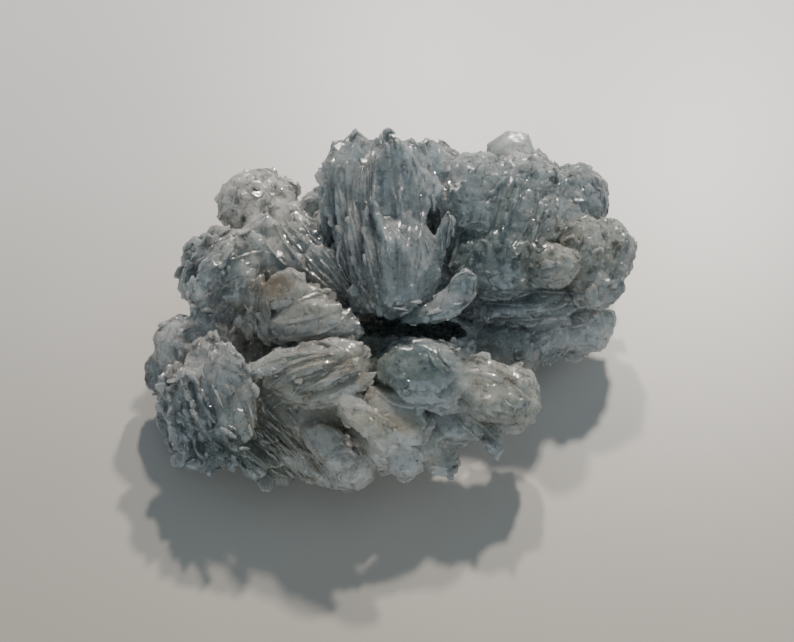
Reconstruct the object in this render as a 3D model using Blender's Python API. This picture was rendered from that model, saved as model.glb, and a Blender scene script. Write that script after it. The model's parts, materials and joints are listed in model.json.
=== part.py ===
"""A celestite cluster: tabular crystals grown together into crested sheaves, scales and nodules.

The model is in metres, +Z up, and stands on the small flat spot under its middle.
"""

import math
from typing import NamedTuple

import bmesh
import bpy
import numpy as np
from mathutils import Matrix, Vector

MM = 0.001

# The layout frame looks down at the cluster: "across" runs to the right, "up" runs up that view and
# "toward" comes out of it.  The resting frame is tilted from it by the angle of the view.
VIEW_ELEVATION = math.radians(55.0)
MIDDLE_HEIGHT = 33.0
FOOT_DEPTH = 14.0

# Crystal habit: tablets with two bevels along the rim, and a face a little smaller than the rim.
# A tablet narrower than each of these widths has one side fewer.
TABLET_SIDES = 8
FEWER_SIDES_BELOW = (12, 8)
TABLET_RINGS = 4
ROOT_TAPER = 0.14
SHEAF_SINK = 0.35
SPINE_SHIFT = 1.5

# Unevenness: shares of a size, and degrees of a direction.
CORNER_JITTER = 0.10
LUMP_JITTER = 0.07
ANGLE_JITTER = 5.0
SIZE_JITTER = 0.10
LUMP_SUBDIVISIONS = 2

# The block that cuts the flat foot, wider and deeper than the cluster.
GROUND_WIDTH = 300
GROUND_THICKNESS = 60

SEED = 8
MOST_TRIANGLES = 9800
NODE_NAME = "celestite_cluster"
MATERIAL_NAME = "celestite"
BASE_COLOUR = (0.30, 0.34, 0.35, 1.0)
ROUGHNESS = 0.42
METALLIC = 0.0


class Blade(NamedTuple):
    """One tabular crystal: its middle, which way it grows, which way its face looks, its size."""

    middle: tuple
    grow: tuple
    face: tuple
    size: tuple


class Scales(NamedTuple):
    """Overlapping crystals that turn step by step from the first blade to the last."""

    name: str
    count: int
    first: Blade
    last: Blade


class Sheaf(NamedTuple):
    """Crystals that stand side by side round a spine, like the pages of an open book."""

    name: str
    count: int
    axis: tuple
    spine: tuple
    reach: tuple
    width: float
    thick: float
    sweep: tuple


class Lump(NamedTuple):
    """A rounded mass: its middle, and its half sizes across, in depth and in height."""

    middle: tuple
    half: tuple


class Hollow(NamedTuple):
    """A gap between crystals: its middle, and its half sizes across, up and toward."""

    middle: tuple
    half: tuple


LUMPS = (
    Lump((-6, -8, 12.5), (37, 25, 12)),
    Lump((16, 8, 13), (32, 22, 12)),
    Lump((-1, -4.5, 8), (24, 22, 11)),
    Lump((0, 17, 22), (24, 16, 14)),
    Lump((26, 20, 20), (20, 16, 14)),
    Lump((-30, 6, 18), (17, 17, 12)),
    Lump((-1, 27.5, 39), (15.5, 16, 15)),
    Lump((0.5, 13, 36.5), (12, 16, 13.5)),
    Lump((10, 33, 34), (9.5, 11, 10)),
    Lump((21, 28, 34), (12, 14, 13)),
    Lump((34.5, 28, 31), (12.5, 14, 13)),
    Lump((30, 22, 30.5), (19, 13, 12)),
    Lump((47, 28, 29), (9, 11, 10)),
    Lump((28, 15, 29.5), (16, 13, 10)),
    Lump((40, 11.5, 35), (7, 6, 6)),
    Lump((48, 16.5, 30.5), (8, 8, 8)),
    Lump((55.5, 15, 27), (6.5, 9, 9)),
    Lump((51, 7.5, 24.5), (8, 7, 7)),
    Lump((-38, 8, 24.5), (14, 13, 13)),
    Lump((-25, 13, 29), (13, 13, 10)),
    Lump((-35, 28, 14), (11, 10, 9.5)),
    Lump((-39.5, 26, 13), (6, 7, 7)),
    Lump((-27, 18, 14.5), (13, 12, 11)),
    Lump((-43, -23, 14), (12, 14, 13)),
    Lump((-51, -9, 18), (9, 9, 9)),
    Lump((-57.5, -15, 12.5), (4.5, 6, 5)),
    Lump((46, -3.5, 11), (11, 9, 7)),
    Lump((37, -6, 12.5), (10, 8, 7)),
    Lump((22.5, -19, 23), (9, 9, 7)),
    Lump((29, -21, 20), (8.5, 8.5, 8)),
    Lump((6, -14, 26.5), (12, 9, 8)),
    Lump((-17, -15, 27.5), (14, 10, 8)),
    Lump((-22, -22, 17.5), (14, 12, 8)),
    Lump((-43, -5, 19.5), (9, 8, 9)),
    Lump((27, -9, 12.5), (12, 10, 8)),
    Lump((14, -26, 17), (10, 8, 6)),
    Lump((-3, -32, 13), (11, 8, 6)),
    Lump((18, -10, 9.5), (16, 12, 7)),
    Lump((-40, -14, 11), (15, 14, 8)),
)

HOLLOWS = (
    Hollow((-3.5, -3.2, 25.5), (7.5, 3.4, 16)),
    Hollow((9.5, -4.8, 22), (10, 3.2, 15)),
    Hollow((10.5, 22, 41), (2.4, 4.5, 7)),
)

SHEAVES = (
    Sheaf("crown_top", 8, (-1.5, 28.0, 39), (0.1, -1, 0), (17.5, 18.5), 36, 3.6, (-92, 20)),
    Sheaf("crown_foot", 6, (-1, 12.5, 35.5), (0.22, -1, 0), (13.5, 15.5), 34, 3.0, (-80, 0)),
    Sheaf("east_face", 6, (30, 23, 27), (-0.3, -0.95, 0), (19, 20.5), 30, 3.2, (-45, 58)),
    Sheaf("left_shoulder", 6, (-38, 7.5, 23.5), (-0.45, -0.9, 0), (15, 16.5), 29, 2.8, (-95, -10)),
    Sheaf("left_foot", 7, (-42, -23, 14), (0.4, -1, 0), (16, 17.5), 33, 2.8, (-92, 25)),
    Sheaf("olive_fan", 5, (-29, -30, 9), (0.72, -0.69, 0), (14, 17), 26, 2.4, (-60, 40)),
    Sheaf("back_left", 4, (-12, 19.5, 20), (1, 0.1, 0), (17, 20), 26, 3.2, (120, 180)),
    Sheaf("back_right", 5, (28, 21, 21.5), (1, -0.1, 0), (18, 21), 34, 3.2, (95, 180)),
    Sheaf("east_end", 4, (44, 14, 16), (0, 1, 0.2), (12, 16), 26, 3.0, (-150, -85)),
    Sheaf("under_left", 3, (-22, -2, 17.5), (0, 0.82, -0.57), (16, 20), 26, 3.2, (95, 140)),
    Sheaf("under_right", 3, (24, 4, 13.5), (0, 0.82, -0.57), (14, 18), 26, 3.2, (-140, -95)),
)

SCALES = (
    Scales(
        "saddle_leaf", 4,
        Blade((-20.5, -1.5, 38), (0.98, 0.12, 0.1), (-0.1, 0.35, 0.95), (23, 11, 2.6)),
        Blade((-17.5, -5.5, 32.5), (0.98, 0.18, 0.1), (-0.1, 0.45, 0.85), (23, 12, 2.4)),
    ),
    Scales(
        "saddle_crest", 2,
        Blade((-26.5, 5.5, 39), (0.75, 0.6, 0.0), (-0.2, 0.4, 0.9), (13, 12, 4)),
        Blade((-21, 4, 38), (0.9, -0.3, 0.1), (-0.1, 0.5, 0.85), (15, 10, 3)),
    ),
    Scales(
        "saddle_wing", 3,
        Blade((-31.5, 1, 34.5), (0.05, -1, 0.1), (-0.9, 0.1, 0.5), (17, 9, 2.2)),
        Blade((-38, 0, 27), (-0.35, -0.9, 0.1), (-0.8, 0.3, 0.5), (17, 9, 2.2)),
    ),
    Scales(
        "saddle_scales", 5,
        Blade((-27, 22, 34), (0.7, -0.7, 0.2), (-0.35, 0.4, 0.85), (17, 13, 2.6)),
        Blade((-15, 9, 37), (0.6, -0.8, 0.2), (-0.6, 0.3, 0.8), (19, 13, 2.6)),
    ),
    Scales(
        "back_paddle", 4,
        Blade((-40, 28, 13), (-0.6, 0.8, 0), (-0.25, 0.2, 0.95), (17, 12, 4)),
        Blade((-30, 28, 15), (0.6, 0.8, 0), (0.2, 0.2, 0.95), (17, 12, 4)),
    ),
    Scales(
        "east_back", 4,
        Blade((15, 32, 21), (1, 0.1, 0), (0, 0.85, -0.4), (24, 15, 4)),
        Blade((46, 29, 19), (1, -0.2, 0), (0.2, 0.85, -0.4), (22, 15, 4)),
    ),
    Scales(
        "west_back", 5,
        Blade((-17, 28, 22), (1, 0.2, 0.1), (-0.3, 0.85, -0.4), (20, 14, 4)),
        Blade((7, 36, 27), (0.9, 0.3, 0.4), (0.1, 0.85, -0.4), (20, 14, 4)),
    ),
    Scales(
        "spur", 2,
        Blade((30.5, 38, 24.5), (0.1, 1, 0.1), (0, -0.1, 1), (18, 15, 5)),
        Blade((36.5, 36, 23.5), (0.1, 0.95, 0.1), (0.2, -0.1, 1), (10, 5, 2.5)),
    ),
    Scales(
        "shelf", 3,
        Blade((32, 3, 24), (1, 0.03, 0.0), (0, 0.6, 0.8), (30, 13, 3.4)),
        Blade((34, -0.5, 17.5), (1, 0.08, 0.0), (0, 0.6, 0.8), (28, 14, 3.4)),
    ),
    Scales(
        "low_wing", 3,
        Blade((48, -3, 11.5), (0.8, -0.5, 0.1), (0.1, 0.25, 0.95), (19, 16, 4)),
        Blade((37, -6, 12), (0.5, -0.8, 0.1), (0.1, 0.25, 0.95), (17, 15, 4)),
    ),
    Scales(
        "ridge_plates", 3,
        Blade((-14.5, -9.5, 37.5), (1, 0.05, 0.2), (0, 0.55, 0.85), (19, 9, 3)),
        Blade((-27, -12, 33.5), (0.9, 0.4, 0.1), (-0.3, 0.5, 0.8), (18, 9, 3)),
    ),
    Scales(
        "bar_plates", 3,
        Blade((-18, -12, 37), (0.88, 0.45, 0.15), (-0.35, 0.6, 0.75), (19, 7, 3)),
        Blade((-12.5, -19, 34), (0.88, 0.42, 0.15), (-0.35, 0.6, 0.75), (23, 7, 3)),
    ),
    Scales(
        "front_petals", 3,
        Blade((-18, -29, 27), (0.75, -0.62, 0.1), (-0.3, 0.4, 0.85), (21, 10, 4)),
        Blade((-12, -35.6, 15.5), (0.62, -0.75, 0.0), (-0.25, 0.35, 0.9), (19, 13, 4.5)),
    ),
    Scales(
        "middle_petals", 3,
        Blade((-8, -24, 32), (0.7, -0.7, 0.1), (-0.1, 0.35, 0.9), (15, 10, 4)),
        Blade((3, -33.5, 18.5), (0.3, -0.9, 0.0), (0, 0.3, 0.95), (15, 13, 4.5)),
    ),
    Scales(
        "right_petals", 3,
        Blade((2, -25, 26.5), (0.7, -0.6, 0.1), (0.1, 0.4, 0.9), (20, 14, 3.4)),
        Blade((10.5, -34, 14.5), (0.6, -0.75, 0), (0.2, 0.3, 0.9), (16, 11, 3.4)),
    ),
    Scales(
        "blue_plate", 3,
        Blade((6, -13, 33.5), (1, -0.15, 0.0), (0.03, 0.45, 0.9), (23, 17, 3.4)),
        Blade((9, -18, 29), (0.9, -0.3, 0.0), (0.1, 0.4, 0.9), (23, 16, 3.4)),
    ),
    Scales(
        "front_right", 3,
        Blade((22.4, -18.2, 28), (0.9, -0.35, 0.1), (-0.1, 0.4, 0.9), (20, 14, 4)),
        Blade((26.5, -23.5, 18.5), (0.9, -0.5, 0.0), (0.1, 0.3, 0.9), (18, 14, 4)),
    ),
    Scales(
        "low_spur", 2,
        Blade((19, -27, 18.5), (0.75, -0.6, 0.0), (0.1, 0.4, 0.9), (16, 7, 3)),
        Blade((25, -31.5, 16), (0.3, -0.9, 0.0), (0.4, 0.2, 0.9), (11, 6, 3)),
    ),
    Scales(
        "tablets", 3,
        Blade((17, 5.5, 38.5), (0.5, 0.8, 0.1), (0.05, 0.25, 1), (11, 9, 2.6)),
        Blade((10, 0, 34.5), (0.95, 0.25, 0.1), (0, 0.6, 0.8), (17, 8, 2.4)),
    ),
    Scales(
        "standing_blades", 3,
        Blade((12.5, 18.5, 42.5), (0.25, 1, 0.1), (0.6, -0.1, 0.8), (15, 6, 2.2)),
        Blade((22, 13, 40), (0.35, 1, 0.1), (0.5, -0.1, 0.9), (17, 8, 2.4)),
    ),
    Scales(
        "foot_cover", 3,
        Blade((-47, -16, 25), (-0.3, -0.9, 0.1), (-0.35, 0.3, 0.9), (22, 13, 3)),
        Blade((-38, -20, 30), (0.1, -0.9, 0.1), (-0.1, 0.3, 0.9), (27, 14, 3)),
    ),
    Scales(
        "foot_skirt", 3,
        Blade((-46, -28, 13.5), (0.1, -1, 0.0), (-0.3, -0.2, 0.9), (20, 12, 3)),
        Blade((-35, -31.5, 15), (0.4, -0.9, 0.0), (-0.2, -0.2, 0.9), (20, 12, 3)),
    ),
    Scales(
        "olive_edge", 2,
        Blade((-26, -33, 15.5), (0.72, -0.69, 0), (-0.4, 0.1, 0.9), (26, 8, 3)),
        Blade((-22, -36, 11.5), (0.75, -0.66, 0), (-0.3, 0.1, 0.9), (24, 9, 3)),
    ),
    Scales(
        "shoulder_scales", 5,
        Blade((-44, 4, 31), (-0.5, 0.1, 0.2), (-0.45, 0.3, 0.85), (16, 12, 3)),
        Blade((-32, 17, 35), (0.2, 0.9, 0.1), (-0.2, 0.4, 0.9), (16, 13, 3)),
    ),
    Scales(
        "crown_top_face", 3,
        Blade((10.5, 30.5, 42), (-0.1, 1, 0.0), (0.7, 0.25, 0.7), (27, 14, 3.4)),
        Blade((2, 30, 51), (-0.05, 1, 0.0), (0.15, 0.15, 0.95), (27, 13, 3.4)),
    ),
    Scales(
        "crown_foot_face", 3,
        Blade((9, 17, 40), (0.05, -1, 0.0), (0.6, 0.0, 0.8), (24, 13, 3.4)),
        Blade((1.5, 9.5, 44.5), (0.1, -1, -0.1), (0.15, -0.15, 0.95), (25, 13, 3.6)),
    ),
)


def place(across, up, height):
    """The resting-frame point, in metres, for layout millimetres and a height above the ground."""
    depth = (up - (height - MIDDLE_HEIGHT) * math.cos(VIEW_ELEVATION)) / math.sin(VIEW_ELEVATION)
    return Vector((across, depth - FOOT_DEPTH, height)) * MM


def heading(right, up, toward):
    """The resting-frame unit direction for a direction of the layout frame."""
    sine, cosine = math.sin(VIEW_ELEVATION), math.cos(VIEW_ELEVATION)
    return Vector((right, up * sine - toward * cosine, up * cosine + toward * sine)).normalized()


def crystal_frame(origin, grow, face):
    """A matrix whose X is the growth direction and whose Z is the crystal's face."""
    along = grow.normalized()
    normal = (face - along * face.dot(along)).normalized()
    side = normal.cross(along)
    return Matrix.Translation(origin) @ Matrix((along, side, normal)).transposed().to_4x4()


def helper_object(name, mesh, collection):
    """A hidden building shape in the helper collection."""
    shape = bpy.data.objects.new(name, mesh)
    shape.hide_render = True
    shape.display_type = "WIRE"
    collection.objects.link(shape)
    return shape


def tablet(name, frame, size, rng, collection):
    """A flat crystal with a double-bevelled rim, its root at the frame's origin."""
    length, width, thick = size
    sides = TABLET_SIDES - sum(width < limit for limit in FEWER_SIDES_BELOW)
    grown = bmesh.new()
    bmesh.ops.create_uvsphere(grown, u_segments=sides, v_segments=TABLET_RINGS, radius=1.0)
    turn = rng.uniform(0, 2 * math.pi / sides)
    corner = 1 + rng.uniform(-CORNER_JITTER, CORNER_JITTER, sides)
    flat_from = math.cos(math.pi / TABLET_RINGS)
    for vert in grown.verts:
        angle = math.atan2(vert.co.y, vert.co.x)
        spoke = round(angle * sides / (2 * math.pi)) % sides
        radius = math.hypot(vert.co.x, vert.co.y) * corner[spoke]
        level = max(-1.0, min(1.0, vert.co.z / flat_from))
        along = radius * math.cos(angle + turn)
        beside = radius * math.sin(angle + turn) * (1 - ROOT_TAPER + ROOT_TAPER * along)
        vert.co = (
            (along + 1) * 0.5 * length * MM,
            beside * 0.5 * width * MM,
            level * 0.5 * thick * MM,
        )
    poles = [vert for vert in grown.verts if len(vert.link_edges) == sides and abs(vert.co.y) < 1e-9]
    bmesh.ops.dissolve_verts(grown, verts=poles)
    bmesh.ops.transform(grown, matrix=frame, verts=grown.verts)
    mesh = bpy.data.meshes.new(name)
    grown.to_mesh(mesh)
    grown.free()
    return helper_object(name, mesh, collection)


def uneven_ball(name, middle, axes, half, rng, collection):
    """A faceted, slightly uneven ellipsoid with these half sizes along these three directions."""
    grown = bmesh.new()
    bmesh.ops.create_icosphere(grown, subdivisions=LUMP_SUBDIVISIONS, radius=1.0)
    for vert in grown.verts:
        swell = 1 + rng.uniform(-LUMP_JITTER, LUMP_JITTER)
        steps = [part * size * swell * MM for part, size in zip(vert.co, half)]
        vert.co = middle + axes[0] * steps[0] + axes[1] * steps[1] + axes[2] * steps[2]
    mesh = bpy.data.meshes.new(name)
    grown.to_mesh(mesh)
    grown.free()
    return helper_object(name, mesh, collection)


def jittered(rng, direction):
    """The direction turned a little, at random."""
    return (direction + Vector(rng.normal(0, math.radians(ANGLE_JITTER), 3))).normalized()


def grow_scales(scales, rng, collection):
    """The overlapping crystals of one group of scales."""
    for number in range(scales.count):
        share = number / max(1, scales.count - 1)
        mixed = [
            tuple(a + (b - a) * share for a, b in zip(first, last))
            for first, last in zip(scales.first, scales.last)
        ]
        middle, grow, face, size = mixed
        size = [value * (1 + rng.uniform(-SIZE_JITTER, SIZE_JITTER)) for value in size]
        along = jittered(rng, heading(*grow))
        root = place(*middle) - along * size[0] * 0.5 * MM
        frame = crystal_frame(root, along, jittered(rng, heading(*face)))
        tablet(f"{scales.name}_{number}", frame, size, rng, collection)


def grow_sheaf(sheaf, rng, collection):
    """The crystals of one sheaf, spread round its spine."""
    spine = heading(*sheaf.spine)
    toward = heading(0, 0, 1)
    toward = (toward - spine * toward.dot(spine)).normalized()
    right = toward.cross(-spine) * -1
    for number in range(sheaf.count):
        share = number / max(1, sheaf.count - 1)
        angle = math.radians(sheaf.sweep[0] + (sheaf.sweep[1] - sheaf.sweep[0]) * share)
        grow = right * math.sin(angle) + toward * math.cos(angle)
        face = right * math.cos(angle) - toward * math.sin(angle)
        reach = rng.uniform(*sheaf.reach)
        width = sheaf.width * (1 + rng.uniform(-SIZE_JITTER, SIZE_JITTER))
        sink = SHEAF_SINK * reach
        grow = jittered(rng, grow)
        origin = place(*sheaf.axis) - grow * sink * MM
        origin += spine * rng.uniform(-SPINE_SHIFT, SPINE_SHIFT) * MM
        frame = crystal_frame(origin, grow, jittered(rng, face))
        tablet(f"{sheaf.name}_{number}", frame, (reach + sink, width, sheaf.thick), rng, collection)


def ground_block(collection):
    """A block whose top is the ground."""
    block = bmesh.new()
    bmesh.ops.create_cube(block, size=1.0)
    wide, thick = GROUND_WIDTH * MM, GROUND_THICKNESS * MM
    for vert in block.verts:
        vert.co = (vert.co.x * wide, vert.co.y * wide, (vert.co.z - 0.5) * thick)
    mesh = bpy.data.meshes.new("ground_block")
    block.to_mesh(mesh)
    block.free()
    return helper_object("ground_block", mesh, collection)


def stone_material():
    """The cluster's plain finish: frosted blue-grey stone."""
    material = bpy.data.materials.new(MATERIAL_NAME)
    material.use_nodes = True
    material.diffuse_color = BASE_COLOUR
    shader = material.node_tree.nodes["Principled BSDF"]
    shader.inputs["Base Color"].default_value = BASE_COLOUR
    shader.inputs["Roughness"].default_value = ROUGHNESS
    shader.inputs["Metallic"].default_value = METALLIC
    return material


def evaluated_mesh(shape):
    """The object's mesh with its modifiers applied."""
    bpy.context.view_layer.update()
    graph = bpy.context.evaluated_depsgraph_get()
    return bpy.data.meshes.new_from_object(shape.evaluated_get(graph), depsgraph=graph)


def joined(name, growth, cutters, material):
    """One object whose mesh is the union of all growth, less every cutter."""
    first = growth.objects[0]
    growth.objects.unlink(first)
    base = bpy.data.objects.new(name + "_base", first.data)
    bpy.context.scene.collection.objects.link(base)
    union = base.modifiers.new("grown_together", "BOOLEAN")
    union.operation = "UNION"
    union.operand_type = "COLLECTION"
    union.collection = growth
    union.solver = "EXACT"
    for cutter in cutters.objects:
        cut = base.modifiers.new(cutter.name, "BOOLEAN")
        cut.operation = "DIFFERENCE"
        cut.object = cutter
        cut.solver = "EXACT"
    mesh = evaluated_mesh(base)
    bpy.data.objects.remove(base, do_unlink=True)
    growth.objects.link(first)
    cluster = bpy.data.objects.new(name, mesh)
    mesh.materials.clear()
    mesh.materials.append(material)
    return cluster


def shells(grown):
    """The separate surfaces of the mesh, each with its signed volume."""
    left = set(grown.faces)
    found = []
    while left:
        seed = left.pop()
        shell = {seed}
        queue = [seed]
        while queue:
            for edge in queue.pop().edges:
                for face in edge.link_faces:
                    if face in left:
                        left.discard(face)
                        shell.add(face)
                        queue.append(face)
        volume = 0.0
        for face in shell:
            corners = [vert.co for vert in face.verts]
            for second, third in zip(corners[1:], corners[2:]):
                volume += corners[0].dot(second.cross(third)) / 6.0
        found.append((volume, shell))
    return sorted(found, key=lambda entry: -entry[0])


def drop_inner_shells(mesh):
    """Deletes every surface but the outer one, which fills the sealed pockets between crystals."""
    grown = bmesh.new()
    grown.from_mesh(mesh)
    for _, shell in shells(grown)[1:]:
        bmesh.ops.delete(grown, geom=list(shell), context="FACES")
    bmesh.ops.triangulate(grown, faces=grown.faces)
    grown.to_mesh(mesh)
    grown.free()


def thin_out(cluster, most):
    """Collapses the cluster's shortest edges until it has at most that many triangles."""
    thin = cluster.modifiers.new("short_edges", "DECIMATE")
    thin.decimate_type = "COLLAPSE"
    thin.ratio = min(1.0, most / len(cluster.data.polygons))
    mesh = evaluated_mesh(cluster)
    cluster.modifiers.clear()
    cluster.data = mesh


def grow_crystals(growth):
    """Every lump and crystal of the cluster, as separate closed shapes that overlap."""
    rng = np.random.default_rng(SEED)
    axes = (Vector((1, 0, 0)), Vector((0, 1, 0)), Vector((0, 0, 1)))
    for number, lump in enumerate(LUMPS):
        uneven_ball(f"lump_{number}", place(*lump.middle), axes, lump.half, rng, growth)
    for sheaf in SHEAVES:
        grow_sheaf(sheaf, rng, growth)
    for scales in SCALES:
        grow_scales(scales, rng, growth)


def cut_shapes(cutters):
    """The hollows between crystals, and the ground."""
    rng = np.random.default_rng(SEED)
    axes = (heading(1, 0, 0), heading(0, 1, 0), heading(0, 0, 1))
    for number, hollow in enumerate(HOLLOWS):
        middle = place(*hollow.middle)
        uneven_ball(f"hollow_{number}", middle, axes, hollow.half, rng, cutters)
    ground_block(cutters)


def main():
    """Builds the cluster and leaves one closed solid in its own collection."""
    for old in list(bpy.data.objects):
        bpy.data.objects.remove(old, do_unlink=True)
    growth = bpy.data.collections.new("growth")
    cutters = bpy.data.collections.new("cutters")
    cluster = bpy.data.collections.new(NODE_NAME)
    for collection in (growth, cutters, cluster):
        bpy.context.scene.collection.children.link(collection)
    grow_crystals(growth)
    cut_shapes(cutters)
    whole = joined(NODE_NAME, growth, cutters, stone_material())
    cluster.objects.link(whole)
    drop_inner_shells(whole.data)
    thin_out(whole, MOST_TRIANGLES)


if __name__ == "__main__":
    main()
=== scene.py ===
"""The dressed celestite cluster: frosted crystals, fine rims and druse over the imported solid.

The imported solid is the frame.  The body of the stone is a finer copy of it, and rims, scales, druse
grains and specks stand on that body.  Lengths are in metres unless a name ends in _mm, and those of
the crystal groups, the rims and the scattered crystals are in millimetres.
"""

import json
import logging
import math
from dataclasses import dataclass
from enum import Enum
from typing import Iterable, NamedTuple, Sequence

import bmesh
import bpy
import numpy as np
from mathutils import Matrix, Vector
from mathutils.bvhtree import BVHTree

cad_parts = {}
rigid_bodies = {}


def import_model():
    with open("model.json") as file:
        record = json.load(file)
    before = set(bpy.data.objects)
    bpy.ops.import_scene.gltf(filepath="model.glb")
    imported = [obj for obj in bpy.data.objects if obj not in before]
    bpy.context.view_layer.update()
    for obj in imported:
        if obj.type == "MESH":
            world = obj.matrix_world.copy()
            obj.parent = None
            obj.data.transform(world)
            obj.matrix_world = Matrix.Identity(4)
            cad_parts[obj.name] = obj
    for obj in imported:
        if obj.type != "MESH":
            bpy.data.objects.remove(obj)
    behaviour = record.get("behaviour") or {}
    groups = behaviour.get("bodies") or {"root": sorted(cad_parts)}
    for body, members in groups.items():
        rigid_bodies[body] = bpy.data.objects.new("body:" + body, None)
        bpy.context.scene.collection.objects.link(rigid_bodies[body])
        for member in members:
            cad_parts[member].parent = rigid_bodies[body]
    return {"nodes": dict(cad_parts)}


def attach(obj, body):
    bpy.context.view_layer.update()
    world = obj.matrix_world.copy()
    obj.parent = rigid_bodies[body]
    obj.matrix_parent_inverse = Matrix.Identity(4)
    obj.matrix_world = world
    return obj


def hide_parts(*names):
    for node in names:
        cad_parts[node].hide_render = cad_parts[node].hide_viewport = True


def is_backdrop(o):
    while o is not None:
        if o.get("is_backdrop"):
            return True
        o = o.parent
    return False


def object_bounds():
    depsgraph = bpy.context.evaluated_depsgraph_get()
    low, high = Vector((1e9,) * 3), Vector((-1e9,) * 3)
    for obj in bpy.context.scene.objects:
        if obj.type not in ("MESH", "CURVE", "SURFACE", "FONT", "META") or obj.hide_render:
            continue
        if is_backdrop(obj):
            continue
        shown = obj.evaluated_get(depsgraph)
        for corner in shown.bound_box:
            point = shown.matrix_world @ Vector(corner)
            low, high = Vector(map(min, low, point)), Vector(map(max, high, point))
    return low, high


LOG = logging.getLogger("celestite")
MM = 0.001
NODE = "celestite_cluster"
CELESTITE_IOR = 1.62
NOISE_SPAN = (0.35, 0.65)

Colour = tuple[float, float, float, float]
Pixel = tuple[float, float]
Socket = bpy.types.NodeSocket
Value = Socket | float | Sequence[float]
Inputs = bpy.types.bpy_prop_collection


class Zone(NamedTuple):
    """An oval patch of the stone, seen from the photograph's side, where a tint is strongest."""

    x: float
    y: float
    wide: float
    high: float
    strength: float


class Tint(Enum):
    """The tints that vary over the stone, each kept as a vertex attribute."""

    WARM = "warm"
    OLIVE = "olive"
    STAIN = "stain"
    # Partly the crystals' own whiter colour, partly painted light where light shines through thin plates.
    PALE_AND_PAINTED_LIGHT = "pale"
    # Painted shade: a dark teal painted in, darkest in the cleft, hollows and grooves.
    PAINTED_SHADE = "painted_shade"


@dataclass(frozen=True)
class Photograph:
    """The photograph's frame, and the camera that stands where its camera stood."""

    width: int = 794
    height: int = 642
    middle: Pixel = (391.0, 312.0)
    pixel_mm: float = 0.24
    elevation: float = math.radians(55.0)
    distance: float = 0.6
    nearness: float = 0.012
    middle_point: tuple[float, float, float] = (0.0, -0.014, 0.033)
    sensor_mm: float = 36.0
    seen: tuple[float, float] = (0.01, 10.0)

    @property
    def back(self) -> Vector:
        """The direction from the stone to the camera."""
        return Vector((0.0, -math.cos(self.elevation), math.sin(self.elevation)))

    @property
    def right(self) -> Vector:
        """The picture's direction to the right."""
        return Vector((1.0, 0.0, 0.0))

    @property
    def up(self) -> Vector:
        """The picture's upward direction."""
        return self.back.cross(self.right)

    @property
    def aim(self) -> Vector:
        """Finds the point that the middle of the picture shows.

        Returns:
            The point.
        """
        step = self.pixel_mm * MM
        across = (self.width / 2 - self.middle[0]) * step
        down = (self.height / 2 - self.middle[1]) * step
        return Vector(self.middle_point) + self.right * across - self.up * down

    @property
    def eye(self) -> Vector:
        """Where the camera stands."""
        return self.aim + self.back * self.distance

    @property
    def focal(self) -> float:
        """The focal length in pixels."""
        return (self.distance - self.nearness) / (self.pixel_mm * MM)

    def layout_point(self, place: Sequence[float]) -> Vector:
        """Turns a layout place into a world place.

        Args:
            place: How far across, up the picture and high it is, in millimetres.

        Returns:
            The place in metres.
        """
        across, up, height = place
        lift = (height * MM - self.middle_point[2]) * math.cos(self.elevation)
        depth = (up * MM - lift) / math.sin(self.elevation)
        return Vector((across * MM, depth + self.middle_point[1], height * MM))

    def layout_direction(self, way: Sequence[float]) -> Vector:
        """The world direction of a layout direction: right, up the picture and toward the viewer."""
        return (self.right * way[0] + self.up * way[1] + self.back * way[2]).normalized()

    def ray(self, pixel: Pixel) -> Vector:
        """The direction from the camera through a pixel.

        Args:
            pixel: A place in the photograph.

        Returns:
            A unit direction.
        """
        across = (pixel[0] - self.width / 2) / self.focal
        down = (pixel[1] - self.height / 2) / self.focal
        return (self.right * across - self.up * down - self.back).normalized()

    def pixels(self, points: np.ndarray) -> np.ndarray:
        """Where points fall in the photograph.

        Args:
            points: Points in world space, one a row.

        Returns:
            The pixel of each point, one a row.
        """
        away = points - np.array(self.eye)
        depth = -(away @ np.array(self.back))
        across = away @ np.array(self.right) / depth * self.focal + self.width / 2
        down = self.height / 2 - away @ np.array(self.up) / depth * self.focal
        return np.stack((across, down), axis=1)

    def make_camera(self) -> bpy.types.Object:
        """Puts the camera in the scene.

        Returns:
            The camera.
        """
        data = bpy.data.cameras.new("camera")
        data.sensor_width = self.sensor_mm
        data.lens = self.sensor_mm * self.focal / self.width
        data.clip_start, data.clip_end = self.seen
        camera = bpy.data.objects.new("camera", data)
        camera.rotation_mode = "QUATERNION"
        camera.location = self.eye
        camera.rotation_quaternion = (-self.back).to_track_quat("-Z", "Y")
        bpy.context.scene.collection.objects.link(camera)
        bpy.context.scene.camera = camera
        return camera


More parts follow.
